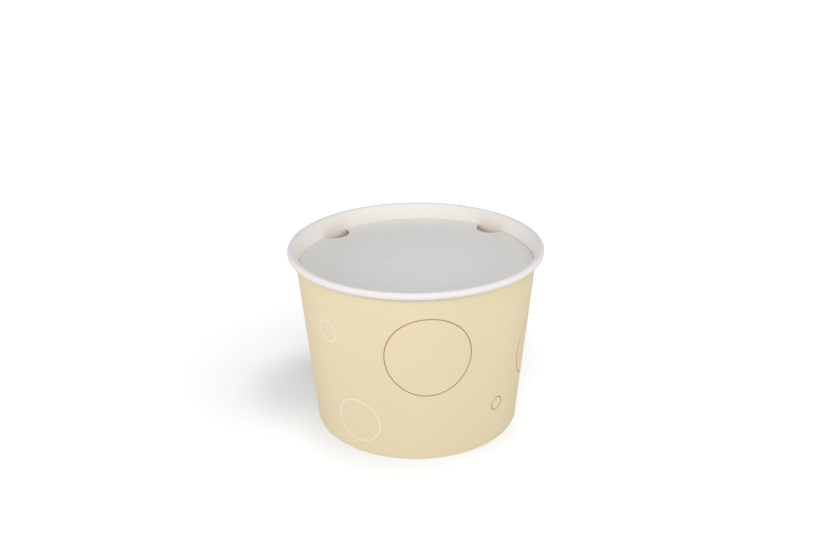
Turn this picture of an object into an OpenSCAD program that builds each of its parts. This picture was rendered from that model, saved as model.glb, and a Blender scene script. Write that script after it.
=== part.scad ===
// Paperboard food bucket with a rolled rim, a folded base seam and a flat notched lid.
// Millimetres. The origin is the centre of the base ring, +Z is up and the front faces -Y.

/* [Bucket] */
// Outside diameter over the rolled rim
rim_d = 183; // [165:1:215]
// Height from the table to the top of the rim
height = 133; // [80:1:190]
// Outside diameter of the wall where it meets the table
base_d = 149; // [115:1:160]
// Thickness of the board of the wall and the bottom
board = 0.5; // [0.3:0.05:0.8]

/* [Rolled rim] */
// Diameter of the roll
curl_d = 5.6; // [4.5:0.1:8]
// Space between the tucked-in end of the roll and the wall
curl_gap = 0.15; // [0.05:0.05:0.4]
// How far the tucked-in end turns past the lowest point of the roll, in degrees
curl_tuck = 190; // [60:5:230]

/* [Base seam] */
// Height of the bottom's underside above the table
base_recess = 10; // [6:0.5:20]
// Inside radius of the bend between the bottom and its skirt
bend_r = 0.6; // [0.3:0.1:1.5]
// Space between that bend and the cut edge of the folded-in hem
hem_gap = 1.4; // [0.5:0.1:3]
// Radius of the fold's outside corners
fold_r = 0.5; // [0.2:0.05:0.6]
// Space left for glue between two layers
glue_gap = 0.05; // [0.03:0.01:0.15]

/* [Side seam] */
// Width of the lap, measured round the base
lap_w = 12; // [6:0.5:20]
// Thickness to which the lap feathers out on its other side
lap_feather = 0.1; // [0.05:0.01:0.2]
// Direction of the lap's cut edge, in degrees from +X
lap_at = 100; // [0:1:359]

/* [Lid] */
// Thickness of the lid
lid_t = 0.6; // [0.3:0.05:1.2]
// Depth of the middle of the lid's top below the rim
lid_depth = 13.9; // [8:0.1:30]
// Space between the lid's edge and the wall
lid_gap = 0.25; // [0.1:0.05:0.5]
// Tilt of the lid in its seat, in degrees
lid_tilt = 1.3; // [0:0.1:2]
// Direction in which the tilted lid rises, in degrees from +X
lid_rise_at = 49; // [0:1:359]
// Number of pairs of finger notches
notch_pairs = 2; // [1:1:3]
// Angle between the two notches of a pair, in degrees
notch_spread = 91; // [70:1:100]
// Direction of the middle of the first pair, in degrees from +X
notch_pair_at = 92; // [0:1:359]
// Radius of a finger notch
notch_r = 11.2; // [6:0.1:16]
// How deep a finger notch bites into the lid
notch_depth = 10.8; // [5:0.1:14]

/* [Hidden] */
$fn = 180;

// Steps along a rounded corner of a section, in degrees
arc_step = 10;

// The roll of the rim, and the smaller turn of its tucked-in end
curl_r = curl_d / 2;
curl_c = [rim_d / 2 - curl_r, height - curl_r];

// Taper at which the wall's inner face runs into the roll without a kink
curl_from_base = curl_c - [base_d / 2, 0];
taper = atan2(curl_from_base[0], curl_from_base[1]) - asin((curl_r - board) / norm(curl_from_base));

// The tucked-in end starts at the lowest point of the roll and clears the wall
tuck_r = (curl_r - board - curl_gap + curl_r * sin(taper)) / (1 + sin(taper));
tuck_c = curl_c - [0, curl_r - tuck_r];

// Layers of the base seam, counted from the wall's outer face
skirt_from = board + glue_gap;
skirt_to = skirt_from + board;
hem_from = skirt_to + glue_gap;
hem_to = hem_from + board;

// Heights of the base seam
bend_z = base_recess - bend_r;
hem_top = bend_z - hem_gap;
skirt_foot = board + glue_gap;

// The lap as an angle. Its face is the wall's own cone shifted sideways, so it comes out of the wall
// at lap_root, is lap_feather thick at the lap's start and one board thick at its cut edge.
lap_angle = lap_w / (base_d / 2) * 180 / PI;
lap_root = atan2(sin(lap_angle), board / lap_feather - cos(lap_angle));
lap_shift = board / sin(lap_root + lap_angle);
lap_foot = fold_r + board;
lap_top = height - curl_d - board;

// The lid's seat
lid_z = height - lid_depth;
lid_r = inner_radius(lid_z - lid_t) - lid_gap;
lid_slide = lid_r * tan(lid_tilt) * tan(taper);

// Radius of a layer at a height, given its distance from the wall's outer face
function layer_radius(z, depth) = base_d / 2 + z * tan(taper) - depth / cos(taper);

function outer_radius(z) = layer_radius(z, 0);

function inner_radius(z) = layer_radius(z, board);

// A point of the section on such a layer
function on_layer(z, depth) = [layer_radius(z, depth), z];

// Points along an arc of the section
function arc(centre, radius, from, to) =
    let (steps = max(1, ceil(abs(to - from) / arc_step)))
    [for (i = [0:steps])
        let (turn = from + (to - from) * i / steps)
        centre + radius * [cos(turn), sin(turn)]];

// A list of points from its last to its first
function reversed(points) = [for (i = [len(points) - 1:-1:0]) points[i]];

// Centre of a corner of the fold, which touches the table and one of its slanted faces
function fold_centre(depth, side) =
    [layer_radius(fold_r, depth) - side * fold_r / cos(taper), fold_r];

// Printed face of the sheet: up from the hem, round the fold, up the wall and into the roll
function printed_face() = concat(
    [on_layer(hem_top, hem_to)],
    arc(fold_centre(hem_to, -1), fold_r, 180 - taper, 270),
    arc(fold_centre(0, 1), fold_r, -90, -taper),
    arc(curl_c, curl_r - board, 180 - taper, -90),
    arc(tuck_c, tuck_r - board, -90, -90 - curl_tuck)
);

// White face of the sheet, along the same path one board further in
function white_face() = concat(
    [on_layer(hem_top, hem_from), on_layer(board, hem_from), on_layer(board, board)],
    arc(curl_c, curl_r, 180 - taper, -90),
    arc(tuck_c, tuck_r, -90, -90 - curl_tuck)
);

// The lap stands a board's thickness proud at its cut edge and feathers out into the wall
module side_lap() {
    start_at = lap_at - lap_angle;
    shift_at = start_at - lap_root + 90;
    intersection() {
        rotate([0, 0, start_at])
            rotate_extrude(angle = lap_angle)
                polygon([
                    on_layer(lap_foot, board / 2),
                    on_layer(lap_foot, -2 * board),
                    on_layer(lap_top, -2 * board),
                    on_layer(lap_top, board / 2)
                ]);
        translate([lap_shift * cos(shift_at), lap_shift * sin(shift_at), 0])
            cylinder(h = height, r1 = outer_radius(0), r2 = outer_radius(height));
    }
}

module side_wall() {
    color("#EAD9B2") {
        rotate_extrude()
            polygon(concat(printed_face(), reversed(white_face())));
        side_lap();
    }
}

// The disc's skirt hangs between the wall and the hem
module bottom_disc() {
    bend_c = [layer_radius(bend_z, skirt_to) - bend_r / cos(taper), bend_z];
    color("#F1EEE8")
        rotate_extrude()
            polygon(concat(
                [[0, base_recess], [0, base_recess + board]],
                arc(bend_c, bend_r + board, 90, -taper),
                [on_layer(skirt_foot, skirt_from), on_layer(skirt_foot, skirt_to)],
                arc(bend_c, bend_r, -taper, 90)
            ));
}

// Half-moon bites leave room for fingers between the lid and the wall
module lid_blank() {
    difference() {
        translate([0, 0, -lid_t])
            cylinder(h = lid_t, r = lid_r);
        for (i = [0:notch_pairs - 1], side = [-1, 1])
            rotate([0, 0, notch_pair_at + i * 360 / notch_pairs + side * notch_spread / 2])
                translate([lid_r - notch_depth + notch_r, 0, -2 * lid_t])
                    cylinder(h = 3 * lid_t, r = notch_r);
    }
}

// The lid has gone in a little askew, so it slides uphill by as much as the taper opens there
module lid() {
    color("#E3E3E1")
        translate([lid_slide * cos(lid_rise_at), lid_slide * sin(lid_rise_at), lid_z])
            rotate(a = lid_tilt, v = [sin(lid_rise_at), -cos(lid_rise_at), 0])
                lid_blank();
}

side_wall();
bottom_disc();
lid();
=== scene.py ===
# %% [markdown]
# # A paperboard food bucket
# The bucket is three pieces of board: one printed sheet that is bent into a tapered wall, a pressed
# bottom that the wall's foot clamps, and a flat lid with finger notches that wedges into the mouth.
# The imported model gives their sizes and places, so it is loaded first and nothing in it moves. Its
# solids could simply be painted, but board shows by its two faces, its cut edges and its glued seam.
# So each piece is built again as a sheet of the same form. Sizes are in millimetres unless a comment
# says otherwise, and MM turns them into Blender's metres.

# %% Load the frame
import math

import bpy
from mathutils import Matrix, Vector


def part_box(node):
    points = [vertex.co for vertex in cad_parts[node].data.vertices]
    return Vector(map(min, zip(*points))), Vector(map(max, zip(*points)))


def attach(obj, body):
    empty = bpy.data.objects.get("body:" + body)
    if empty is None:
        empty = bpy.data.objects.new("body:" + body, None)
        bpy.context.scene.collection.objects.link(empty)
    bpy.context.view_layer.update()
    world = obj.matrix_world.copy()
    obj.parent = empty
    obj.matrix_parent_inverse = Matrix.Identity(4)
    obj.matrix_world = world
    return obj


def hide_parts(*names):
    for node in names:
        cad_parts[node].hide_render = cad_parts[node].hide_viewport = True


MM = 0.001

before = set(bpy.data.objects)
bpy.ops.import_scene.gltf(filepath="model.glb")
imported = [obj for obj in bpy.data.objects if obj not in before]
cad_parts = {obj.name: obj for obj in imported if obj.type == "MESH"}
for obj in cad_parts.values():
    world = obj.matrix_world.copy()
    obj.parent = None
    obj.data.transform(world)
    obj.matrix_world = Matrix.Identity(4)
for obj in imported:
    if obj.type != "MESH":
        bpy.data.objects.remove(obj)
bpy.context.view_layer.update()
rim_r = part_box("side_wall")[1].x / MM
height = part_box("side_wall")[1].z / MM
print(f"rim radius {rim_r:.2f} mm, height {height:.2f} mm, nodes {sorted(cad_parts)}")

# %% [markdown]
# ## The camera
# The camera comes before the pieces, so that every later picture has the same view. It stands in
# front of the bucket, on -Y, and looks down on it. Its place is given from the middle of the mouth,
# because the rim is the clearest outline to measure. A Track To constraint could aim it, but it would
# keep the camera upright. So two turns are written out: one about X, which tips the camera up from
# looking straight down, and one about its own axis, for the slight lean of a camera on a stand.

# %% Place the camera
camera_rise = math.radians(21.06)
camera_distance = 702.1
camera_drop = math.radians(2.05)
camera_lean = math.radians(-0.50)
camera_lens = 42.54
camera_sensor = 36


def put_in_scene(name, data):
    """An object that holds this mesh, lamp or camera, linked to the scene."""
    thing = bpy.data.objects.new(name, data)
    bpy.context.scene.collection.objects.link(thing)
    return thing


camera_data = bpy.data.cameras.new("camera")
camera_data.sensor_width = camera_sensor
camera_data.lens = camera_lens
camera = put_in_scene("camera", camera_data)
bpy.context.scene.camera = camera

camera_y = -camera_distance * math.cos(camera_rise)
camera_z = height + camera_distance * math.sin(camera_rise)
stand = Matrix.Translation(Vector((0, camera_y, camera_z)) * MM)
tip = Matrix.Rotation(math.pi / 2 - camera_rise - camera_drop, 4, "X")
lean = Matrix.Rotation(camera_lean, 4, "Z")
camera.matrix_world = stand @ tip @ lean
print(f"camera {camera_distance:.0f} mm from the mouth, {math.degrees(camera_rise):.1f} degrees up")

# %% [markdown]
# ## The cut of the sheet
# The wall starts as a flat blank: a fan-shaped piece of board. Bent round, its sides lap and are
# glued, its upper edge rolls outwards into the rim and its lower edge folds in as a hem. Print could
# be thrown at the bent wall from the front, but it would stretch towards the outline. A press prints
# the flat blank, and so does this file. A fan unrolls to circles about one point, so two short
# functions are enough to find a place on the wall and its flat place on the blank.

# %% Measure the blank
base_r = 74.5
board = 0.5
roll_r = 2.8

roll_centre = Vector((rim_r - roll_r, height - roll_r))
foot_to_roll = roll_centre - Vector((base_r, 0))
lean_to_roll = math.atan2(foot_to_roll.x, foot_to_roll.y)
taper = lean_to_roll - math.asin((roll_r - board) / foot_to_roll.length)
taper_degrees = math.degrees(taper)
fan_r = base_r / math.sin(taper)


def layer_r(z, depth):
    """Radius at a height of a layer that lies so deep under the wall's printed face."""
    return base_r + z * math.tan(taper) - depth / math.cos(taper)


def on_blank(turn, run):
    """Flat place of a point of the wall.

    Turn is in degrees from the front towards +X, and run is the way up the sheet from its foot.
    """
    fan = math.radians(turn) * math.sin(taper)
    return (fan_r + run) * math.sin(fan), (fan_r + run) * math.cos(fan) - fan_r


print(f"taper {taper_degrees:.2f} degrees, the fan's radius at the foot {fan_r:.0f} mm")

# %% [markdown]
# ## Helpers for finishes
# A finish is a sheet of shader nodes. Each node could be made, set and linked in lines of its own,
# but then the links hide what the finish does. These helpers place a node, set its options and fill
# its inputs, each with a value or with another node's output, so one call reads as one step. Colours
# are written as they would be picked from a picture, from 0 to 255, and turned into the linear values
# that shaders work with.

# %% Place nodes and read colours
node_spacing = 200


def empty_sheet(owner):
    """The node sheet of a material or a world, cleared of the nodes that Blender puts there."""
    owner.use_nodes = True
    owner.node_tree.nodes.clear()
    return owner.node_tree


def fill(node, inputs):
    """Sets a node's inputs by name or number, each to a value or to another node's output."""
    for socket, value in inputs.items():
        if isinstance(value, bpy.types.NodeSocket):
            node.id_data.links.new(value, node.inputs[socket])
        else:
            node.inputs[socket].default_value = value


def add_node(sheet, kind, spot, inputs=None, **options):
    """Adds a node at a column and row of the node sheet."""
    made = sheet.nodes.new(kind)
    made.location = (spot[0] * node_spacing, -spot[1] * node_spacing)
    for option, value in options.items():
        setattr(made, option, value)
    fill(made, inputs or {})
    return made


def work_out(sheet, operation, spot, *values):
    """Adds a Math node and hands back its result."""
    inputs = dict(enumerate(values))
    return add_node(sheet, "ShaderNodeMath", spot, inputs, operation=operation).outputs[0]


def colour(red, green, blue):
    """A picture's colour as linear values by the sRGB rule, with full alpha."""
    parts = [value / 255 for value in (red, green, blue)]
    linear = [part / 12.92 if part <= 0.04045 else ((part + 0.055) / 1.055) ** 2.4 for part in parts]
    return (*linear, 1.0)


print("a mid grey of 188 is", round(colour(188, 188, 188)[0], 3), "as a linear value")

# %% [markdown]
# ## Groups of nodes
# Some effects belong to more than one finish. Their nodes could be copied into each material, but a
# node group holds them once, with named sockets, and each material places it with its own values.

# %% Start a node group
FLOAT = "NodeSocketFloat"
VECTOR = "NodeSocketVector"


def new_group(name, inputs, outputs):
    """An empty node group with named sockets, and its two end nodes."""
    group = bpy.data.node_groups.new(name, "ShaderNodeTree")
    for label, kind, value in inputs:
        socket = group.interface.new_socket(label, in_out="INPUT", socket_type=kind)
        if value is not None:
            socket.default_value = value
    for label in outputs:
        group.interface.new_socket(label, in_out="OUTPUT", socket_type=FLOAT)
    start = add_node(group, "NodeGroupInput", (0, 0))
    end = add_node(group, "NodeGroupOutput", (8, 0))
    return group, start, end


print("groups take", FLOAT, "and", VECTOR)

# %% [markdown]
# ## Paper fibre
# Board is pressed from short fibres. Near to, it shows a fine tooth, which runs a little along the
# paper machine, and faint clouds where the fibres lie thicker. A scan of paper could show both, but
# it would repeat and blur. Noise does neither, so noise stretched along one axis gives the fibres and
# a much larger noise gives the clouds. All five finishes need it, so it is a node group.

# %% Build the fibre group
machine_stretch = (0.45, 2.2, 1)
fibre_scale = 1.3
cloud_scale = 0.16
noise_middles = 1.0

fibre, fibre_in, fibre_out = new_group(
    "paper_fibre",
    [
        ("Flat", VECTOR, None),
        ("Clouding", FLOAT, 0.04),
        ("Roughness", FLOAT, 0.55),
        ("Polish", FLOAT, 0.08),
    ],
    ["Shade", "Roughness", "Tooth"],
)
flat_place, clouding, roughness, polish = fibre_in.outputs[:4]
along_machine = add_node(
    fibre, "ShaderNodeVectorMath", (1, 0), {0: flat_place, 1: machine_stretch}, operation="MULTIPLY"
)
fibres = add_node(fibre, "ShaderNodeTexNoise", (2, 0), noise_dimensions="2D")
fill(fibres, {"Vector": along_machine.outputs[0], "Scale": fibre_scale})
fill(fibres, {"Detail": 4, "Roughness": 0.6, "Distortion": 0.5})
clouds = add_node(fibre, "ShaderNodeTexNoise", (2, 1), noise_dimensions="2D")
fill(clouds, {"Vector": flat_place, "Scale": cloud_scale, "Detail": 3})

# Each noise lies about one half, so their sum less one lies about nought.
both = work_out(fibre, "ADD", (3, 0), fibres.outputs["Fac"], clouds.outputs["Fac"])
level = work_out(fibre, "SUBTRACT", (4, 0), both, noise_middles)
shade = work_out(fibre, "MULTIPLY_ADD", (5, 0), level, clouding, 1.0)
rough = work_out(fibre, "MULTIPLY_ADD", (5, 1), level, polish, roughness)
fill(fibre_out, {"Shade": shade, "Roughness": rough, "Tooth": fibres.outputs["Fac"]})
print("paper_fibre gives", [socket.name for socket in fibre_out.inputs if socket.name])

# %% [markdown]
# ## Printed rings
# The print is a few thin circle outlines. An image would blur at the line's width, so each ring is
# worked out instead: the distance from its centre on the blank, less its radius, is small only on the
# line. The group turns that into a mask with a soft edge, as wide as ink spreads in board.

# %% Build the ring group
ring, ring_in, ring_out = new_group(
    "printed_ring",
    [
        ("Flat", VECTOR, None),
        ("Centre", VECTOR, None),
        ("Radius", FLOAT, 10.0),
        ("Line", FLOAT, 0.8),
        ("Spread", FLOAT, 0.12),
    ],
    ["Ink"],
)
flat_place, ring_middle, ring_radius, line, spread = ring_in.outputs[:5]
from_middle = add_node(
    ring, "ShaderNodeVectorMath", (1, 0), {0: flat_place, 1: ring_middle}, operation="DISTANCE"
)
from_line = work_out(ring, "SUBTRACT", (2, 0), from_middle.outputs["Value"], ring_radius)
off_line = work_out(ring, "ABSOLUTE", (3, 0), from_line)
half_line = work_out(ring, "MULTIPLY", (3, 1), line, 0.5)
line_end = work_out(ring, "ADD", (4, 1), half_line, spread)
line_start = work_out(ring, "SUBTRACT", (4, 2), half_line, spread)
inked = add_node(ring, "ShaderNodeMapRange", (5, 0), interpolation_type="SMOOTHSTEP")
fill(inked, {"Value": off_line, "From Min": line_end, "From Max": line_start})
fill(inked, {"To Min": 0.0, "To Max": 1.0})
fill(ring_out, {"Ink": inked.outputs["Result"]})
print("printed_ring takes", [socket.name for socket in ring_in.outputs if socket.name])

# %% [markdown]
# ## Board finishes
# All boards share one recipe: a colour, the fibre group over it, and a faint bump from the fibres.
# What differs is how white, how rough and how cloudy each is. Each material could be set up by hand,
# but a better recipe would then have to be entered five times, so one function makes them all. Nodes
# that a later step builds on get names by which it finds them. The rolled rim is the wall's own white
# face. Its finish is a copy of the white board with a cooler tint painted in, because the inner wall
# catches warm light from the inside of the mouth and the rim doesn't: painted light, not another board.

# %% Make the plain boards
tooth_height = 0.012


def board_finish(name, paint, roughness, gloss, clouding, polish, tooth=1.0):
    """A material of bare or coated board, with nodes named flat map, tint and shader to build on."""
    finish = bpy.data.materials.new(name)
    sheet = empty_sheet(finish)
    flat = add_node(sheet, "ShaderNodeUVMap", (0, 0), name="flat map", uv_map="Blank")
    paper = add_node(sheet, "ShaderNodeGroup", (1, 0), node_tree=fibre)
    fill(paper, {"Flat": flat.outputs["UV"], "Clouding": clouding})
    fill(paper, {"Roughness": roughness, "Polish": polish})
    tint = add_node(sheet, "ShaderNodeVectorMath", (6, 0), name="tint", operation="MULTIPLY")
    fill(tint, {0: paint[:3], 1: paper.outputs["Shade"]})
    bump = add_node(sheet, "ShaderNodeBump", (6, 2), {"Height": paper.outputs["Tooth"]})
    fill(bump, {"Strength": 1.0, "Distance": tooth_height * tooth * MM})
    shader = add_node(sheet, "ShaderNodeBsdfPrincipled", (8, 0), name="shader")
    fill(shader, {"Base Color": tint.outputs[0], "Roughness": paper.outputs["Roughness"]})
    fill(shader, {"Specular IOR Level": gloss, "Normal": bump.outputs["Normal"]})
    add_node(sheet, "ShaderNodeOutputMaterial", (10, 0), {"Surface": shader.outputs["BSDF"]})
    print(f"{name}: {len(sheet.nodes)} nodes")
    return finish


white_face_look = {"roughness": 0.60, "gloss": 0.05, "clouding": 0.020, "polish": 0.06, "tooth": 0.7}
white_board = board_finish("white_board", colour(239, 234, 228), **white_face_look)
# Painted light: the wall's own white board, painted cooler because no warm light from the mouth reaches
# the rim.
rim_board_painted_cool = board_finish("rim_board_painted_cool", colour(237, 233, 232), **white_face_look)
lid_board = board_finish(
    "lid_board", colour(234, 233, 231), roughness=0.60, gloss=0.30, clouding=0.030, polish=0.06
)
raw_edge = board_finish(
    "raw_edge", colour(222, 204, 176), roughness=0.80, gloss=0.20, clouding=0.120, polish=0.05, tooth=2.0
)

# %% [markdown]
# ## A smudge on the lid
# The lid isn't spotless: left of its middle it has one faint grey smudge, longer than it is wide. It
# could be painted by hand, but a ring with no radius is a filled dot, so the ring group makes the
# smudge too, with a wide spread for its soft edge. The flat map is squeezed along the smudge's length
# first, which stretches the dot.

# %% Smudge the lid
smudge_at = (-21.5, 7.3)
smudge_wide = 3.8
smudge_squeeze = 0.5
smudge_spread = 0.9
smudge_grey = colour(229, 228, 226)


def laid_over(sheet, spot, mask, under, over):
    """Lays a colour over another through a mask. Of a Mix node's sockets, 0, 6 and 7 mix colours."""
    mix = add_node(sheet, "ShaderNodeMix", spot, {0: mask, 6: under, 7: over}, data_type="RGBA")
    return mix.outputs[2]


lid_sheet = lid_board.node_tree
squeezed = add_node(lid_sheet, "ShaderNodeVectorMath", (1, 3), operation="MULTIPLY")
fill(squeezed, {0: lid_sheet.nodes["flat map"].outputs["UV"], 1: (1, smudge_squeeze, 1)})
smudge = add_node(lid_sheet, "ShaderNodeGroup", (2, 3), node_tree=ring)
smudge_centre = (smudge_at[0], smudge_at[1] * smudge_squeeze, 0)
fill(smudge, {"Flat": squeezed.outputs[0], "Centre": smudge_centre, "Radius": 0})
fill(smudge, {"Line": smudge_wide, "Spread": smudge_spread})
lid_tint = lid_sheet.nodes["tint"].outputs[0]
smudged = laid_over(lid_sheet, (7, 1), smudge.outputs["Ink"], lid_tint, smudge_grey)
fill(lid_sheet.nodes["shader"], {"Base Color": smudged})
print(f"smudge {smudge_wide:.1f} by {smudge_wide / smudge_squeeze:.1f} mm")

# %% [markdown]
# ## The inks
# The outside is printed cream all over, with rings in white, gold, brown and copper ink. Rings could
# be strewn at random, but a print has fixed places. The rings that the front shows come first in the
# list, and the back carries more of the same kinds, clear of the glued lap.

# %% List the rings
WHITE_INK = colour(252, 244, 233)
GOLD_INK = colour(182, 141, 52)
BROWN_INK = colour(190, 145, 52)
COPPER_INK = colour(212, 126, 66)
ring_line = 0.77

# Degrees from the front, run up from the foot, radius and ink of each ring.
rings = [
    (5.5, 82.8, 29.8, GOLD_INK),
    (-32.0, 26.2, 16.7, WHITE_INK),
    (-47.1, 91.5, 8.0, WHITE_INK),
    (46.0, 32.4, 5.1, BROWN_INK),
    (79.1, 63.2, 23.9, COPPER_INK),
    (-91.7, 70.0, 20.0, COPPER_INK),
    (-112.0, 22.0, 9.5, GOLD_INK),
    (112.0, 98.0, 9.0, WHITE_INK),
    (121.0, 24.0, 14.5, WHITE_INK),
    (-140.0, 74.0, 27.0, GOLD_INK),
    (152.0, 72.0, 17.0, COPPER_INK),
    (-152.0, 20.0, 6.0, BROWN_INK),
]
print(f"{len(rings)} rings, the widest {2 * max(radius for _, _, radius, _ in rings):.0f} mm across")

# %% [markdown]
# ## The printed outside
# A press lays one ink after the other over the cream. Rings could be thin raised meshes, but ink has
# no thickness to speak of, so they stay in the material. Each ring is one group node, and its mask
# lays that ring's ink over the colour so far.

# %% Print the wall
printed_board = board_finish(
    "printed_board", colour(240, 224, 189), roughness=0.56, gloss=0.05, clouding=0.030, polish=0.08
)
print_sheet = printed_board.node_tree
print_flat = print_sheet.nodes["flat map"].outputs["UV"]
below = print_sheet.nodes["tint"].outputs[0]
for number, (turn, run, radius, ink) in enumerate(rings):
    mark = add_node(print_sheet, "ShaderNodeGroup", (2 + number, 5), node_tree=ring)
    fill(mark, {"Flat": print_flat, "Centre": (*on_blank(turn, run), 0)})
    fill(mark, {"Radius": radius, "Line": ring_line})
    below = laid_over(print_sheet, (2 + number, 4), mark.outputs["Ink"], below, ink)
fill(print_sheet.nodes["shader"], {"Base Color": below})
print(f"printed_board: {len(print_sheet.nodes)} nodes with the rings")

# %% [markdown]
# ## A helper for sheets
# Board is a sheet with two faces and a cut edge. A mesh could be modelled first and unwrapped after,
# but here every face already knows its finish and where its corners lie on the flat blank. So each
# piece is gathered face by face, and the flat places become a UV map named Blank, which the finishes
# read. Points at one place are joined as they come in, so that faces share them, and a face that has
# shrunk to nothing, such as where a lap dies out, is left away.

# %% Gather faces into a piece
join_digits = 4
crease = math.radians(40)


class Piece:
    """Collects faces and turns them into one mesh object that rides on the part."""

    def __init__(self, name, finishes):
        self.name = name
        self.finishes = finishes
        self.points = {}
        self.faces = []

    def face(self, corners, finish, blank, bake=None):
        """Adds a face by its corners' places, their flat places and, if any, their bake places."""
        numbers = []
        kept = []
        for at, place in enumerate(corners):
            key = tuple(round(value, join_digits) for value in place)
            number = self.points.setdefault(key, len(self.points))
            if number not in numbers:
                numbers.append(number)
                kept.append(at)
        if len(numbers) > 2:
            maps = {"Blank": [blank[at] for at in kept]}
            if bake:
                maps["OFBake"] = [bake[at] for at in kept]
            self.faces.append((numbers, self.finishes.index(finish), maps))

    def build(self, node):
        """Makes the object, which stands for a node of the frame."""
        mesh = bpy.data.meshes.new(self.name)
        places = [Vector(place) * MM for place in self.points]
        mesh.from_pydata(places, [], [face[0] for face in self.faces])
        for finish in self.finishes:
            mesh.materials.append(finish)
        mesh.polygons.foreach_set("material_index", [face[1] for face in self.faces])
        for name in self.faces[0][2]:
            layer = mesh.uv_layers.new(name=name)
            flat = [value for face in self.faces for corner in face[2][name] for value in corner]
            layer.data.foreach_set("uv", flat)
        mesh.polygons.foreach_set("use_smooth", [True] * len(mesh.polygons))
        mesh.set_sharp_from_angle(angle=crease)
        mesh.update()
        piece = put_in_scene(self.name, mesh)
        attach(piece, "root")
        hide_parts(node)
        print(f"{self.name}: {len(self.points)} points, {len(self.faces)} faces")


print(f"points join within {10**-join_digits} mm, edges crease at {math.degrees(crease):.0f} degrees")

# %% [markdown]
# ## Lines of the section
# Cut through, the sheet is a long thin loop: up the printed face from the hem to the tucked-in end of
# the roll, and back down the white face. A Solidify modifier could thicken one surface, but not where
# the sheet folds flat on itself. So both faces are drawn as lists of points, straight up the wall and
# in arcs where the sheet is bent. Where the sides lap, the sheet shifts towards its printed face by a
# little less than one board, and the fold and the roll press that shift flat again.

# %% Draw straight and round lines
arc_step = 10
wall_steps = 24
lap_foot = (1.0, 6.0)
lap_head = (112.0, 128.0)
lap_at_rim = 0.35


def ease(value, low, high):
    """A smooth rise from 0 at low to 1 at high."""
    part = min(max((value - low) / (high - low), 0), 1)
    return part * part * (3 - 2 * part)


def arc(centre, radius, start, stop):
    """Points along an arc of the section, in degrees."""
    steps = max(1, math.ceil(abs(stop - start) / arc_step))
    turns = [math.radians(start + (stop - start) * step / steps) for step in range(steps + 1)]
    return [(centre[0] + radius * math.cos(turn), centre[1] + radius * math.sin(turn)) for turn in turns]


def lap_share(z):
    """How much of the lap's shift is left at a height."""
    return ease(z, *lap_foot) * (1 - (1 - lap_at_rim) * ease(z, *lap_head))


def wall_line(depth, low, high, shift):
    """Points up the wall on one of its faces, shifted where the sheet is lapped."""
    heights = [low + (high - low) * step / wall_steps for step in range(wall_steps + 1)]
    return [(layer_r(z, depth) + shift * lap_share(z), z) for z in heights]


shares = [round(lap_share(z), 2) for z in (0, height / 2, height)]
print("share of the lap's shift at the table, half way up and at the rim:", shares)

# %% [markdown]
# ## The rolled rim
# The rim is the sheet's own upper edge, rolled outwards, which is why it shows the white inner face. A
# torus could stand for it, but it would be solid and its join with the wall would show. So the line of
# each face runs on from the wall into a wide arc, and from its lowest point into a tighter one, the
# end that is tucked in behind the wall. The tighter arc is as wide as the room inside the roll allows.

# %% Draw the roll
roll_gap = 0.15
tuck_turn = 190


def roll_line(depth, print_shift, white_shift, shift):
    """Points round the roll and its tucked-in end, which has room even where the sheet is lapped."""
    slope = math.sin(taper)
    outside = roll_r - white_shift
    tuck_r = (roll_r - board - print_shift - roll_gap + outside * slope) / (1 + slope)
    tuck_centre = (roll_centre.x, roll_centre.y - outside + tuck_r)
    inside = depth + shift - white_shift
    return (
        arc(roll_centre, roll_r - depth - shift, 180 - taper_degrees, -90)[1:]
        + arc(tuck_centre, tuck_r - inside, -90, -90 - tuck_turn)[1:]
    )


print(f"the roll's line has {len(roll_line(0, 0, 0, 0))} points")

# %% [markdown]
# ## The two faces of the sheet
# At the foot the sheet folds in and up as a hem, and leaves a slot in which the bottom's skirt hangs.
# One middle line could be pushed out to both sides, but the fold is pressed flat on the table and its
# slot has square corners, so the faces differ there. Each face is drawn by itself, in stretches that
# are named for the part of the sheet they belong to.

# %% Draw both faces
fold_r = 0.5
layer_gap = 0.05
hem_top = 8.0
skirt_from = board + layer_gap
skirt_to = skirt_from + board
hem_from = skirt_to + layer_gap
hem_to = hem_from + board


def printed_face(print_shift, white_shift):
    """From the hem's cut edge round the fold, up the wall and into the roll."""
    foot_in = (layer_r(fold_r, hem_to) + fold_r / math.cos(taper), fold_r)
    foot_out = (layer_r(fold_r, 0) - fold_r / math.cos(taper), fold_r)
    hem = [(layer_r(hem_top, hem_to), hem_top)] + arc(foot_in, fold_r, 180 - taper_degrees, 270)
    foot = arc(foot_out, fold_r, -90, -taper_degrees)
    low = foot[-1][1]
    high = roll_centre.y + (roll_r - board) * math.sin(taper)
    wall = wall_line(0, low, high, print_shift)[1:]
    at_rim = print_shift * lap_at_rim
    roll = roll_line(board, at_rim, white_shift * lap_at_rim, at_rim)
    return [("hem", hem), ("hem", foot), ("wall", wall), ("roll", roll)]


def white_face(print_shift, white_shift):
    """Along the same path one board further in."""
    slot_corners = [(hem_top, hem_from), (board, hem_from), (board, board)]
    slot = [(layer_r(z, depth), z) for z, depth in slot_corners]
    high = roll_centre.y + roll_r * math.sin(taper)
    wall = wall_line(board, board, high, white_shift)[1:]
    at_rim = white_shift * lap_at_rim
    roll = roll_line(0, print_shift * lap_at_rim, at_rim, at_rim)
    return [("hem", slot), ("wall", wall), ("roll", roll)]


for face in (printed_face(0, 0), white_face(0, 0)):
    print("section:", [(part, len(points)) for part, points in face])

# %% [markdown]
# ## The lapped side seam
# The blank's two sides lap by about a finger's breadth at the back and are glued. Seen from inside,
# the inner side's cut edge is a fine upright line that runs on over the rim. Outside, the other side's
# cut edge stands a little less than one board proud, since the lap is pressed. A bump in the finish
# could hint at it, but it wouldn't show in the outline. So the section is carried round from edge to
# edge of the outer side, and shifts where it climbs over the inner one. Each station holds its angle,
# in degrees from the front, and the shift of both faces.

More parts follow.
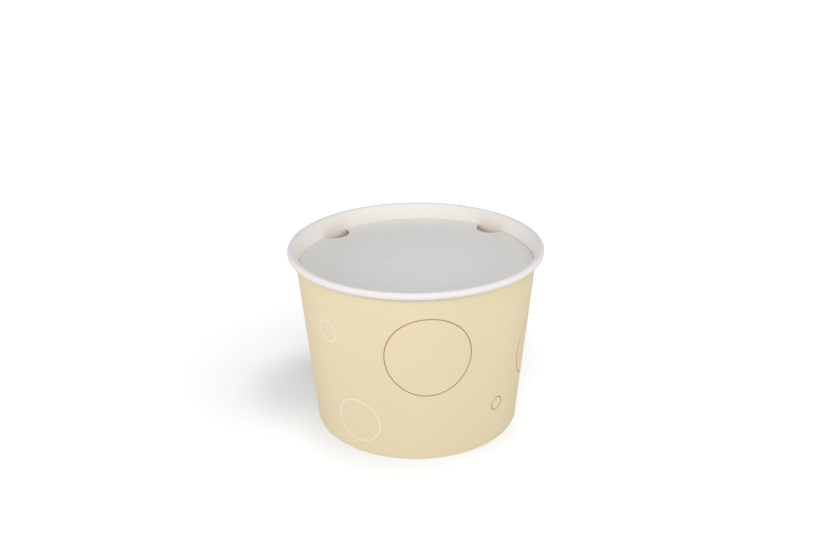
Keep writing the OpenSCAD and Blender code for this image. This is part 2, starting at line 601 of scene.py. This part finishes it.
# %% Carry the section round
outer_edge = 190.0
inner_edge = 182.5
climb_from = 166.0
stations_round = 288
print_step = 0.40
white_step = 0.18

stations = []
for step in range(stations_round + 1):
    turn = outer_edge - 360 + 360 * step / stations_round
    climb = ease(turn, climb_from, inner_edge)
    if turn <= inner_edge:
        stations.append((turn, print_step * climb, white_step * climb))
    if turn >= inner_edge:
        stations.append((turn, print_step, 0))
print(f"{len(stations)} stations round the wall, lap {outer_edge - inner_edge:.1f} degrees wide")

# %% [markdown]
# ## A map for baking
# A renderer that can't run shader nodes needs the print as a picture on the mesh, and a thin line
# survives there only if the map spends its room on the printed face. Blender's Smart UV Project would
# give all faces room alike. So a second map, OFBake, lays the printed wall out as four quarters of the
# fan, two by two, and squeezes all the plain stretches into thin strips below.

# %% Lay out the bake map
quarter_turn = 90
fan_half = math.radians(quarter_turn / 2) * math.sin(taper)
wall_run = (height - roll_r) / math.cos(taper)
tile_wide = 2 * (fan_r + wall_run) * math.sin(fan_half)
tile_low = fan_r * math.cos(fan_half)
tile_tall = fan_r + wall_run - tile_low
tiles_from = 0.17
map_edge = 0.004

# Lowest and highest place on the map of each strip.
strips = {
    ("white", "wall"): (0.090, 0.160),
    ("white", "roll"): (0.056, 0.086),
    ("white", "hem"): (0.044, 0.052),
    ("printed", "hem"): (0.032, 0.040),
    ("printed", "roll"): (0.020, 0.028),
    ("cut", "hem"): (0.014, 0.017),
    ("cut", "roll"): (0.008, 0.011),
    ("cut", "lap"): (0.002, 0.005),
}


def strip_place(kind, along, across):
    """A place on one of the strips, from how far along and across it lies, both from 0 to 1."""
    low, high = strips[kind]
    return map_edge + along * (1 - 2 * map_edge), low + across * (high - low)


def tile_place(quarter, turn, run):
    """A place on the quarter of the fan that holds this stretch of the printed wall."""
    middle = outer_edge - 360 + quarter_turn * (quarter + 0.5)
    fan = math.radians(turn - middle) * math.sin(taper)
    wide = 0.5 + (fan_r + run) * math.sin(fan) / tile_wide
    tall = ((fan_r + run) * math.cos(fan) - tile_low) / tile_tall
    room = 0.5 - 2 * map_edge
    tile_height = (1 - tiles_from) / 2
    left = 0.5 * (quarter % 2) + map_edge
    low = tiles_from + tile_height * (quarter // 2) + map_edge
    return left + wide * room, low + tall * (tile_height - 2 * map_edge)


print(f"a quarter of the printed wall is {tile_wide:.0f} by {tile_tall:.0f} mm, half the map wide")

# %% [markdown]
# ## The loop of the section
# The two faces make one closed loop: up the printed one and down the white one, with the sheet's two
# cut edges where they meet. Blender could measure the loop's length after it is built, but the flat
# map needs it before. So the loop's points are listed once without the lap, each with its face, its
# part of the sheet and its run up the sheet.

# %% Close the loop
def joined(face):
    """The points of a face in one list, with the part of the sheet that each belongs to."""
    return [(part, place) for part, places in face for place in places]


def runs_along(face):
    """How far each point lies up the sheet, from where the wall's slope would meet the table."""
    lengths = [0.0]
    for (_, here), (_, after) in zip(face, face[1:]):
        lengths.append(lengths[-1] + math.dist(here, after))
    first = [part for part, place in face].index("wall")
    start = lengths[first] - face[first][1][1] / math.cos(taper)
    return [length - start for length in lengths]


def wall_loop(print_shift, white_shift):
    """The places of the closed loop at a station."""
    up = [place for part, place in joined(printed_face(print_shift, white_shift))]
    down = [place for part, place in joined(white_face(print_shift, white_shift))]
    return up + down[::-1]


printed_points = joined(printed_face(0, 0))
white_points = joined(white_face(0, 0))
parts = [("printed", part) for part, place in printed_points]
parts += [("white", part) for part, place in white_points][::-1]
runs = runs_along(printed_points) + runs_along(white_points)[::-1]
loops = [wall_loop(print_shift, white_shift) for turn, print_shift, white_shift in stations]
points_round = len(parts)
print(f"{points_round} points in the loop, the sheet {max(runs) - min(runs):.0f} mm from edge to edge")

# %% [markdown]
# ## What each stretch shows
# Between two neighbouring points, the loop is printed, white or the raw board of a cut edge. Finishes
# could be picked by hand in Edit Mode, but not again after each change of size. So a stretch is named
# by its face and its part of the sheet, and the name decides its finish and its place on both maps.
# The white face of the roll is the rim, with the white board painted cooler for light it misses.

# %% Sort the loop into stretches
def strip_kind(here, after):
    """What the stretch of the loop between two neighbouring points is."""
    if parts[here][0] != parts[after][0]:
        return ("cut", parts[here][1])
    upper = after if parts[here][0] == "printed" else here
    return parts[upper]


def strip_finish(kind):
    """The finish of a stretch of the loop."""
    # The rim gets the white board painted cooler, which stands for warm light it doesn't catch.
    if kind == ("white", "roll"):
        return rim_board_painted_cool
    return {"printed": printed_board, "white": white_board, "cut": raw_edge}[kind[0]]


def turn_share(turn):
    """How far round the wall a turn lies, from 0 to 1."""
    return (turn - outer_edge + 360) / 360


run_ends = {}
for kind in sorted(set(parts)):
    of_kind = [run for part, run in zip(parts, runs) if part == kind]
    run_ends[kind] = (min(of_kind), max(of_kind))


def wall_maps(kind, corners):
    """Flat places and bake places of a face's corners, each given by its turn and its point."""
    if kind[0] == "cut":
        sides = [parts[at][0] == "white" for turn, at in corners]
        blank = [(math.radians(turn) * base_r, board * side) for (turn, at), side in zip(corners, sides)]
        bake = [strip_place(kind, turn_share(turn), side) for (turn, at), side in zip(corners, sides)]
        return blank, bake
    blank = [on_blank(turn, runs[at]) for turn, at in corners]
    if kind == ("printed", "wall"):
        middle = sum(turn for turn, at in corners) / len(corners)
        quarter = min(int((middle - outer_edge + 360) // quarter_turn), 3)
        return blank, [tile_place(quarter, turn, runs[at]) for turn, at in corners]
    low, high = run_ends[kind]
    across = [(runs[at] - low) / (high - low) for turn, at in corners]
    bake = [strip_place(kind, turn_share(turn), share) for (turn, at), share in zip(corners, across)]
    return blank, bake


print("stretches:", {" ".join(kind): round(high - low, 1) for kind, (low, high) in run_ends.items()})

# %% [markdown]
# ## The side wall
# The wall is the sheet bent round and glued into one skin. A Screw modifier could turn the section
# round the axis, but then it would be the same all round, with no lap. So the loop is joined face by
# face from station to station, all the way round, and leaves no loose edges. Two stations at one angle
# mark a cut side of the sheet, so the faces between them are raw board as well.

# %% Build the side wall
def round_wall(turn, place):
    """A point of the section, turned about the bucket's axis. Degrees from the front."""
    angle = math.radians(turn - 90)
    return place[0] * math.cos(angle), place[0] * math.sin(angle), place[1]


def side_cut_maps(spots, number):
    """Flat places and bake places on a cut side, from the numbered station across to the next."""
    across = [station == number for station, point in spots]
    blank = [(runs[point], board * side) for (station, point), side in zip(spots, across)]
    along = [point / points_round for station, point in spots]
    return blank, [strip_place(("cut", "lap"), share, side) for share, side in zip(along, across)]


side_wall = Piece("side_wall_sheet", [printed_board, white_board, rim_board_painted_cool, raw_edge])
for number in range(len(stations)):
    following = (number + 1) % len(stations)
    side_cut = (stations[number][0] - stations[following][0]) % 360 == 0
    for at in range(points_round):
        after = (at + 1) % points_round
        spots = [(number, at), (following, at), (following, after), (number, after)]
        places = [round_wall(stations[station][0], loops[station][point]) for station, point in spots]
        if side_cut:
            side_wall.face(places, raw_edge, *side_cut_maps(spots, number))
        else:
            kind = strip_kind(at, after)
            corners = [(stations[station][0], point) for station, point in spots]
            side_wall.face(places, strip_finish(kind), *wall_maps(kind, corners))
side_wall.build("side_wall")

# %% [markdown]
# ## The line of the bottom
# The bottom is a disc pressed with a turned-down skirt, which hangs between the wall and the hem. A
# cylinder with its lower face taken out could stand for it, but the press leaves a round bend. So its
# section is one open line: from the axis out over the bend, down the skirt, and back underneath.
# Points across the disc keep its faces short, so that it shades evenly.

# %% Draw the bottom's line
base_recess = 10.0
bend_r = 0.6
skirt_foot = board + layer_gap
bottom_rings = 6

bend_z = base_recess - bend_r
bend_centre = (layer_r(bend_z, skirt_to) - bend_r / math.cos(taper), bend_z)
across = [bend_centre[0] * step / bottom_rings for step in range(bottom_rings)]
bottom_line = [(r, base_recess + board) for r in across]
bottom_line += arc(bend_centre, bend_r + board, 90, -taper_degrees)
skirt_edge = len(bottom_line)
bottom_line += [(layer_r(skirt_foot, depth), skirt_foot) for depth in (skirt_from, skirt_to)]
bottom_line += arc(bend_centre, bend_r, -taper_degrees, 90)
bottom_line += [(r, base_recess) for r in across[::-1]]
print(f"{len(bottom_line)} points, the skirt's foot {skirt_foot:.2f} mm above the table")

# %% [markdown]
# ## The bottom
# The bottom is round all over, so a Screw modifier would do for its shape. It is still gathered face by
# face, because the flat map has to follow the board over its bend: flat places grow outwards along the
# upper face and shrink again along the lower one. The skirt's foot is cut, so it is raw board.

# %% Build the bottom
bottom = Piece("bottom_board", [white_board, raw_edge])
flat_runs = [0.0]
for here, after in zip(bottom_line, bottom_line[1:]):
    grow = 1 if len(flat_runs) <= skirt_edge else -1
    flat_runs.append(flat_runs[-1] + grow * math.dist(here, after))
for step in range(stations_round):
    turns = [360 * step / stations_round, 360 * (step + 1) / stations_round]
    for at in range(len(bottom_line) - 1):
        spots = [(turns[0], at), (turns[0], at + 1), (turns[1], at + 1), (turns[1], at)]
        places = [round_wall(turn, bottom_line[point]) for turn, point in spots]
        blank = [round_wall(turn, (flat_runs[point], 0))[:2] for turn, point in spots]
        bottom.face(places, raw_edge if at == skirt_edge else white_board, blank)
bottom.build("bottom_disc")

# %% [markdown]
# ## The lid's outline
# The lid is a disc of plain board, die-cut with half-moon notches for a finger. A Boolean modifier could
# bite the notches out of a disc, but it leaves long thin faces that shade badly. So the outline is
# drawn as arcs of the notches and of the disc by turns, which meet where the two circles cross. An
# inset draws it slightly smaller, with larger notches.

# %% Draw the lid's outline
lid_t = 0.6
lid_depth = 13.9
lid_gap = 0.25
notch_pairs = 2
notch_spread = 91
notch_pair_at = 92
notch_r = 11.2
notch_depth = 10.8
arc_points = 60
notch_points = 36

lid_z = height - lid_depth
lid_r = layer_r(lid_z - lid_t, board) - lid_gap
notch_from_middle = lid_r - notch_depth + notch_r
pair_middles = [notch_pair_at + 360 / notch_pairs * pair for pair in range(notch_pairs)]
notch_turns = [middle + side * notch_spread / 2 for middle in pair_middles for side in (-1, 1)]


def corner_angle(side, other, across):
    """The angle between two sides of a triangle, from the side that lies across from it."""
    return math.acos((side**2 + other**2 - across**2) / (2 * side * other))


def lid_outline(inset):
    """The lid's outline, drawn in by a small inset. Each point has its angle for the rings inside."""
    disc = lid_r - inset
    bite = notch_r + inset
    spread = corner_angle(disc, notch_from_middle, bite)
    swing = corner_angle(notch_from_middle, bite, disc)
    outline = []
    for number, notch_turn in enumerate(notch_turns):
        middle = math.radians(notch_turn)
        to_next = math.radians((notch_turns[(number + 1) % len(notch_turns)] - notch_turn) % 360)
        for step in range(notch_points):
            share = step / notch_points
            turn = middle + math.pi + swing * (1 - 2 * share)
            x = notch_from_middle * math.cos(middle) + bite * math.cos(turn)
            y = notch_from_middle * math.sin(middle) + bite * math.sin(turn)
            outline.append((x, y, middle + spread * (2 * share - 1)))
        plain = to_next - 2 * spread
        for step in range(arc_points):
            turn = middle + spread + plain * step / arc_points
            outline.append((disc * math.cos(turn), disc * math.sin(turn), turn))
    return outline


print(f"lid {2 * lid_r:.1f} mm across, {len(notch_turns)} notches, {len(lid_outline(0))} points round")

# %% [markdown]
# ## The lid
# The lid is pressed in until the taper stops it, and sits a little askew. A Bevel modifier could round
# its edge, but the die leaves only a hair of rounding, on an edge full of corners. So the outline is
# drawn once more, slightly smaller, for the two faces. Rings further in divide the faces evenly. The
# tilt turns the lid about its middle, and the lid slides uphill by as much as the taper opens there.

# %% Build the lid
lid_tilt = math.radians(1.3)
lid_rise_at = math.radians(49)
die_round = 0.08
lid_rings = [0, 18, 36, 54, 70]


def lid_ring(radius, z):
    """A round ring of the lid, with as many points as its outline has."""
    return [(radius * math.cos(turn), radius * math.sin(turn), z) for x, y, turn in lid_outline(0)]


def lid_edge(inset, z):
    """The lid's outline at a height, drawn in by a small inset."""
    return [(x, y, z) for x, y, turn in lid_outline(inset)]


lid_slide = lid_r * math.tan(lid_tilt) * math.tan(taper)
uphill = Vector((math.cos(lid_rise_at), math.sin(lid_rise_at), 0))
lid_seat = Matrix.Translation(uphill * lid_slide + Vector((0, 0, lid_z)))
lid_seat = lid_seat @ Matrix.Rotation(lid_tilt, 4, Vector((uphill.y, -uphill.x, 0)))

levels = [lid_ring(radius, 0) for radius in lid_rings]
cut_levels = range(len(levels), len(levels) + 3)
levels += [lid_edge(die_round, 0), lid_edge(0, -die_round)]
levels += [lid_edge(0, die_round - lid_t), lid_edge(die_round, -lid_t)]
levels += [lid_ring(radius, -lid_t) for radius in lid_rings[::-1]]

lid = Piece("lid_disc", [lid_board, raw_edge])
round_lid = len(levels[0])
for at in range(len(levels) - 1):
    for step in range(round_lid):
        after = (step + 1) % round_lid
        corners = [levels[at][step], levels[at + 1][step], levels[at + 1][after], levels[at][after]]
        places = [tuple(lid_seat @ Vector(corner)) for corner in corners]
        if at in cut_levels:
            lid.face(places, raw_edge, [(corner[0] + corner[1], corner[2]) for corner in corners])
        else:
            lid.face(places, lid_board, [corner[:2] for corner in corners])
lid.build("lid")

# %% [markdown]
# ## The floor
# The bucket stands on a plain white floor that runs on far behind it. A studio bends paper up into a
# sweep, but seen from above one large square looks the same.

# %% Lay the floor
# In metres.
floor_size = 12.0

half = floor_size / 2
floor_corners = [(-half, -half, 0), (half, -half, 0), (half, half, 0), (-half, half, 0)]
floor_mesh = bpy.data.meshes.new("floor")
floor_mesh.from_pydata(floor_corners, [], [(0, 1, 2, 3)])
floor = put_in_scene("floor", floor_mesh)
print(f"floor {floor_size:.0f} m wide")

# %% [markdown]
# ## White to the eye only
# A floor that is lit to full white throws far too much light back at the wall. More lamps could whiten
# it, but they would bleach the bucket too. So the Light Path node tells the eye's rays from the
# light's: to light, the floor and the room behind it are dull, and to the eye they are white.

# %% Tell the eye's rays from the light's
def seen_directly(sheet):
    """1 for rays that show the background to the eye, straight or in a reflection, and 0 for light."""
    path = add_node(sheet, "ShaderNodeLightPath", (0, 0)).outputs
    seen = work_out(sheet, "MAXIMUM", (1, 0), path["Is Camera Ray"], path["Is Glossy Ray"])
    return work_out(sheet, "MAXIMUM", (2, 0), seen, path["Is Transmission Ray"])


floor_finish = bpy.data.materials.new("studio_floor")
floor_mesh.materials.append(floor_finish)
floor_sheet = empty_sheet(floor_finish)
floor_seen = seen_directly(floor_sheet)
print("the floor tells rays apart with", len(floor_sheet.nodes), "nodes")

# %% [markdown]
# ## Fading with the distance
# Shade on a floor fades with the distance from what casts it. A Gradient Texture could follow that, but
# it has to be moved and scaled to fit. The plain distance from a place, read through a colour ramp,
# has its stops in metres, so it can be measured off the floor.

# %% Fade with the distance
def grey(level):
    """A neutral colour from its linear level."""
    return (level, level, level, 1)


def faded_from(middle, stops, row):
    """A colour that changes with the distance in metres from a place on the floor."""
    spot = add_node(floor_sheet, "ShaderNodeTexCoord", (0, row))
    away = add_node(floor_sheet, "ShaderNodeVectorMath", (1, row), operation="DISTANCE")
    fill(away, {0: spot.outputs["Object"], 1: middle})
    ramp = add_node(floor_sheet, "ShaderNodeValToRGB", (2, row), {"Fac": away.outputs["Value"]})
    ramp.color_ramp.interpolation = "EASE"
    while len(ramp.color_ramp.elements) < len(stops):
        ramp.color_ramp.elements.new(1.0)
    for stop, (metres, level) in zip(ramp.color_ramp.elements, stops):
        stop.position = metres
        stop.color = level
    return ramp.outputs["Color"]


print("a neutral colour is written as", grey(0.5))

# %% [markdown]
# ## Shade on the floor
# The bucket's shadow is soft, deepest left of the wall and again close round the foot. To the eye, the
# floor is white paper with its own shading, and a painted glow on top lifts it to full white. An even
# glow would wash the shadow out, so the glow grows with the distance from two places, one in the shadow
# and one at the foot. Where it is held back the floor's own shadow shows, deepened into painted shade
# whose shape is set by those two places. Close to the wall the paper catches the wall's cream light, so
# its white is painted a little cool there to cancel that light, and the shadow looks grey.

# %% Lift the floor to white
# Middles are in metres, and stops are distances in metres, each with its colour.
floor_grey = grey(0.30)
bucket_middle = (0, 0, 0)
# The white is painted cooler near the wall, to cancel the cream light that the wall throws on the floor.
white_stops = [(0.080, (0.91, 0.945, 1.0, 1)), (0.22, grey(0.98))]
# The glow is held back round the shadow's middle and the foot, which paints deeper shade there.
shade_middle = (-0.0675, 0.032, 0)
shade_stops = [(0.028, grey(0.056)), (0.084, grey(0.27)), (0.60, grey(1.00))]
foot_middle = (-0.001, -0.030, 0)
foot_stops = [(0.050, grey(0.33)), (0.096, grey(1.00))]

shade_lift = faded_from(shade_middle, shade_stops, 3)
foot_lift = faded_from(foot_middle, foot_stops, 4)
lift = work_out(floor_sheet, "MULTIPLY", (4, 3), shade_lift, foot_lift)
glow = add_node(floor_sheet, "ShaderNodeEmission", (5, 3), {"Strength": lift})
painted_cool_white = faded_from(bucket_middle, white_stops, 2)
paper_white = add_node(floor_sheet, "ShaderNodeBsdfDiffuse", (4, 2), {"Color": painted_cool_white})
to_eye = add_node(floor_sheet, "ShaderNodeAddShader", (5, 2))
fill(to_eye, {0: glow.outputs[0], 1: paper_white.outputs[0]})
to_light = add_node(floor_sheet, "ShaderNodeBsdfDiffuse", (4, 1), {"Color": floor_grey})
floor_mix = add_node(floor_sheet, "ShaderNodeMixShader", (6, 0), {0: floor_seen})
fill(floor_mix, {1: to_light.outputs[0], 2: to_eye.outputs[0]})
add_node(floor_sheet, "ShaderNodeOutputMaterial", (7, 0), {"Surface": floor_mix.outputs[0]})
print(f"floor at {floor_grey[0]} to light, and to the eye at {white_stops[-1][1][0]} with a glow on top")

# %% [markdown]
# ## Light from the room
# The pale walls of a studio send a little light from all round, which keeps the shadows open. Large
# weak lamps on every side could give it, but the world's background does it with one level. The eye
# sees that background as full white, by the same choice of rays as on the floor.

# %% Fill the room with light
room_level = 0.34
backdrop_level = 1.0

world = bpy.data.worlds.new("studio")
bpy.context.scene.world = world
room_sheet = empty_sheet(world)
room = add_node(room_sheet, "ShaderNodeBackground", (3, 0), {"Strength": room_level})
backdrop = add_node(room_sheet, "ShaderNodeBackground", (3, 1), {"Strength": backdrop_level})
for background in (room, backdrop):
    fill(background, {"Color": grey(1)})
room_mix = add_node(room_sheet, "ShaderNodeMixShader", (4, 0), {0: seen_directly(room_sheet)})
fill(room_mix, {1: room.outputs[0], 2: backdrop.outputs[0]})
add_node(room_sheet, "ShaderNodeOutputWorld", (5, 0), {"Surface": room_mix.outputs[0]})
print(f"room at {room_level} to light and {backdrop_level} to the eye")

# %% [markdown]
# ## Soft boxes
# Goods are photographed under soft boxes: lamps behind large white cloths. A sun lamp would be quicker
# to place, but its shadows are hard, so each box is an area lamp that faces the bucket. The front one
# is tall and low, which lights the wall and the lid evenly. Two at the sides shape the wall, the right
# one weaker. Two weak ones hang high, and a low one behind lets the back be seen. None shows itself.

# %% Hang the lamps
# In metres.
lamp_distance = 1.0
lamp_size = 0.5
front_tall = 0.85


def soft_box(name, turn, rise, power, tall=lamp_size):
    """A flat lamp that faces the bucket. Degrees round from the front and up, watts, and its height."""
    lamp = bpy.data.lights.new(name, "AREA")
    lamp.shape = "RECTANGLE"
    lamp.size = lamp_size
    lamp.size_y = tall
    lamp.energy = power
    box = put_in_scene(name, lamp)
    flat = math.radians(turn - 90)
    up = math.radians(rise)
    aim = Vector((math.cos(flat) * math.cos(up), math.sin(flat) * math.cos(up), math.sin(up)))
    box.location = Vector((0, 0, height / 2 * MM)) + aim * lamp_distance
    box.rotation_euler = aim.to_track_quat("Z", "Y").to_euler()
    box.visible_camera = False
    print(f"{name}: {power} W, {turn} degrees round and {rise} up")


soft_box("front", turn=0, rise=20, power=4.2, tall=front_tall)
soft_box("left", turn=-63, rise=12, power=3.75)
soft_box("right", turn=63, rise=12, power=3.3)
soft_box("high_left", turn=-90, rise=50, power=0.5)
soft_box("high_right", turn=88, rise=62, power=1.4)
soft_box("back", turn=180, rise=6, power=1.8)

# %% [markdown]
# ## Light that soaks through
# Thin board lets a little light through, and it comes out warm. Inside the closed bucket there is no
# other light, so the gaps at the finger notches look brown and not black. A translucent shader could
# carry that light through the wall, but it is noisy and its glow is lost in the export. One very weak
# warm lamp just under the lid gives the same brown, and belongs to the studio as the others do.

# %% Warm the inside
soaked_power = 0.020
soaked_size = 2
soaked_colour = colour(255, 174, 84)
soaked_depth = 4

soaked = bpy.data.lights.new("soaked_light", "POINT")
soaked.shadow_soft_size = soaked_size * MM
soaked.energy = soaked_power
soaked.color = soaked_colour[:3]
inside = put_in_scene("soaked_light", soaked)
inside.location = (0, 0, (lid_z - soaked_depth) * MM)
inside.visible_camera = False
print(f"soaked light {soaked_depth} mm under the lid's top, {soaked_power} W")

# %% [markdown]
# ## Colours as written
# The Standard view shows colours as they are written.

# %% Set the view
bpy.context.scene.view_settings.view_transform = "Standard"
